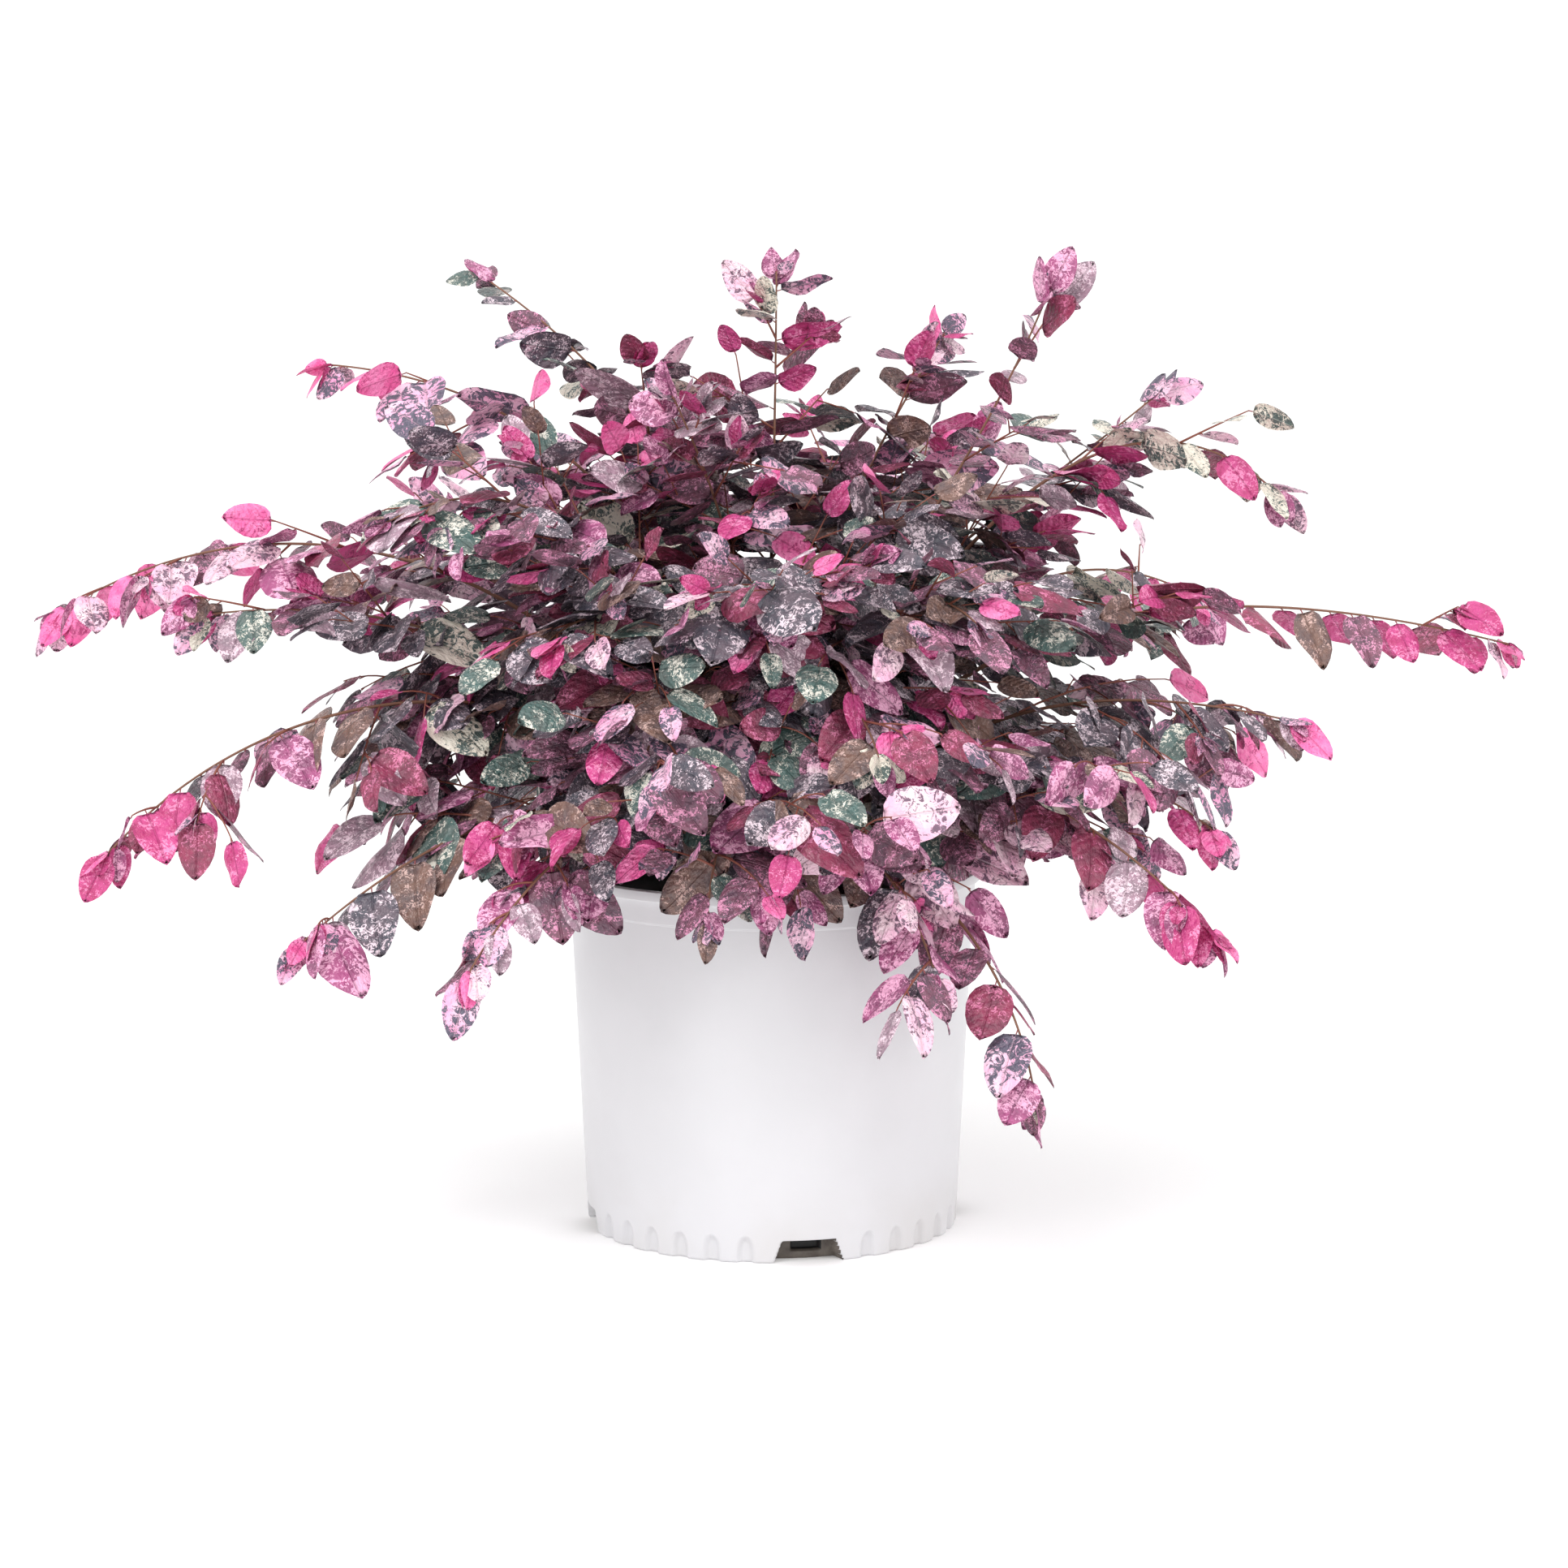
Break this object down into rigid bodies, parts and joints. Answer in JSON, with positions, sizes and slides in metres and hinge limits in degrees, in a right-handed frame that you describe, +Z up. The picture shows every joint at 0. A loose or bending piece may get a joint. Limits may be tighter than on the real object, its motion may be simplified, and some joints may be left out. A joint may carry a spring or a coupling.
{
  "type": "potted chinese fringe flower",
  "caption": "Young arching evergreen shrub with plum and pink leaves, standing in a round plastic nursery pot.",
  "frame": {"origin": "centre of the pot's flat underside, on the ground", "axes": "+Z up the pot's axis, -Y towards the side that the picture shows, +X along the two longest canes"},
  "size_m": [1.0094, 0.7331, 0.6624],
  "materials": {
    "pot": "satin",
    "potting_soil": "matte",
    "bark": "matte",
    "foliage": "satin"
  },
  "bodies": {
    "root": {"bough_back_high": "bark", "bough_back_left": "bark", "bough_back_left_low": "bark", "bough_back_middle": "bark", "bough_back_right": "bark", "bough_back_right_low": "bark", "bough_front_high": "bark", "bough_front_left_high": "bark", "bough_front_left_low": "bark", "bough_front_middle": "bark", "bough_front_right_hanging": "bark", "bough_front_right_high": "bark", "bough_front_right_short": "bark", "bough_left_hanging": "bark", "bough_left_high": "bark", "bough_left_long": "bark", "bough_left_low": "bark", "bough_left_middle": "bark", "bough_left_shoulder": "bark", "bough_right_arching": "bark", "bough_right_hanging": "bark", "bough_right_long": "bark", "bough_right_low": "bark", "bough_right_middle": "bark", "foliage_back_high": "foliage", "foliage_back_left": "foliage", "foliage_back_left_low": "foliage", "foliage_back_middle": "foliage", "foliage_back_right": "foliage", "foliage_back_right_low": "foliage", "foliage_front_high": "foliage", "foliage_front_left_high": "foliage", "foliage_front_left_low": "foliage", "foliage_front_left_middle": "foliage", "foliage_front_middle": "foliage", "foliage_front_right_hanging": "foliage", "foliage_front_right_high": "foliage", "foliage_front_right_middle": "foliage", "foliage_front_right_short": "foliage", "foliage_left_hanging": "foliage", "foliage_left_high": "foliage", "foliage_left_long": "foliage", "foliage_left_low": "foliage", "foliage_left_middle": "foliage", "foliage_left_shoulder": "foliage", "foliage_left_top": "foliage", "foliage_right_arching": "foliage", "foliage_right_hanging": "foliage", "foliage_right_long": "foliage", "foliage_right_low": "foliage", "foliage_right_middle": "foliage", "foliage_right_top": "foliage", "foliage_right_upright": "foliage", "foliage_top_back": "foliage", "foliage_top_left": "foliage", "foliage_top_middle": "foliage", "pot": "pot", "potting_soil": "potting_soil", "stem": "bark"}
  },
  "joints": []
}
